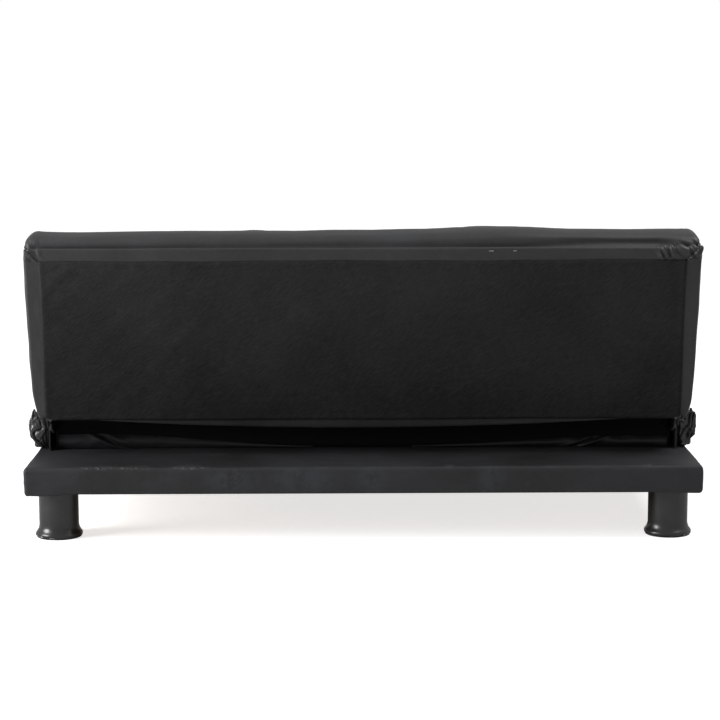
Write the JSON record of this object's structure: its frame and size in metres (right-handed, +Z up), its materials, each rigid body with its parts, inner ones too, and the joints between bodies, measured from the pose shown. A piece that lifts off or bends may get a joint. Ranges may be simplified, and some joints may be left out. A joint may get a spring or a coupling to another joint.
{
  "type": "futon sofa bed",
  "caption": "Armless upholstered sofa bed: a padded seat and a backrest on a ratchet hinge recline on a low covered base with round flared legs.",
  "frame": {"origin": "centre of the bounding box at floor level, under the glides of the four legs", "axes": "+X along the sofa to its right-hand end as seen facing the rear, +Y to the rear, +Z up"},
  "size_m": [1.752, 0.76, 0.7722],
  "materials": {
    "leatherette": "satin",
    "nonwoven": "matte",
    "foam": "matte",
    "webbing": "matte",
    "felt": "matte",
    "timber": "matte",
    "plywood": "matte",
    "leg_plastic": "satin",
    "black_steel": "satin",
    "zinc_steel": "satin",
    "nylon": "matte"
  },
  "bodies": {
    "base": {"base_corner_blocks": "timber", "base_cover": "leatherette", "base_cross_rails": "timber", "base_deck": "plywood", "base_front_rail": "timber", "base_rear_rail": "timber", "base_side_rail_left": "timber", "base_side_rail_right": "timber", "hinge_bracket_bolts": "zinc_steel", "hinge_bracket_left": "black_steel", "hinge_bracket_right": "black_steel", "hinge_pins": "zinc_steel", "hinge_washers": "nylon", "leg_front_left": "leg_plastic", "leg_front_right": "leg_plastic", "leg_glide_front_left": "felt", "leg_glide_front_right": "felt", "leg_glide_rear_left": "felt", "leg_glide_rear_right": "felt", "leg_rear_left": "leg_plastic", "leg_rear_right": "leg_plastic", "leg_studs": "zinc_steel", "leg_tee_nuts": "zinc_steel"},
    "seat": {"hinge_seat_arm_left": "black_steel", "hinge_seat_arm_right": "black_steel", "seat_arm_bolts": "zinc_steel", "seat_bearers": "timber", "seat_cover": "leatherette", "seat_dust_cover": "nonwoven", "seat_foam": "foam", "seat_front_rail": "timber", "seat_gather_left": "leatherette", "seat_gather_right": "leatherette", "seat_rear_rail": "timber", "seat_side_rail_left": "timber", "seat_side_rail_right": "timber", "seat_webbing": "webbing"},
    "backrest": {"back_arm_bolts": "zinc_steel", "back_bottom_rail": "timber", "back_cover": "leatherette", "back_foam": "foam", "back_panel": "nonwoven", "back_side_rail_left": "timber", "back_side_rail_right": "timber", "back_stiles": "timber", "back_top_rail": "timber", "back_webbing": "webbing", "hinge_back_arm_left": "black_steel", "hinge_back_arm_right": "black_steel", "hinge_pawl_rivets": "zinc_steel", "hinge_pawl_springs": "zinc_steel"},
    "pawl_left": {"hinge_pawl_left": "black_steel"},
    "pawl_right": {"hinge_pawl_right": "black_steel"}
  },
  "joints": [
    {"name": "seat_lift", "type": "hinge", "parent": "base", "child": "seat", "pos_m": [0, 0.13, 0.2815], "axis": [-1, 0, 0], "range_deg": [0, 20]},
    {"name": "back_recline", "type": "hinge", "parent": "base", "child": "backrest", "pos_m": [0, 0.13, 0.2815], "axis": [-1, 0, 0], "range_deg": [0, 80]},
    {"name": "pawl_left_drop", "type": "hinge", "parent": "backrest", "child": "pawl_left", "pos_m": [-0.80725, 0.19076, 0.27875], "axis": [-1, 0, 0], "range_deg": [0, 8.5]},
    {"name": "pawl_right_drop", "type": "hinge", "parent": "backrest", "child": "pawl_right", "pos_m": [0.80725, 0.19076, 0.27875], "axis": [-1, 0, 0], "range_deg": [0, 8.5]}
  ]
}
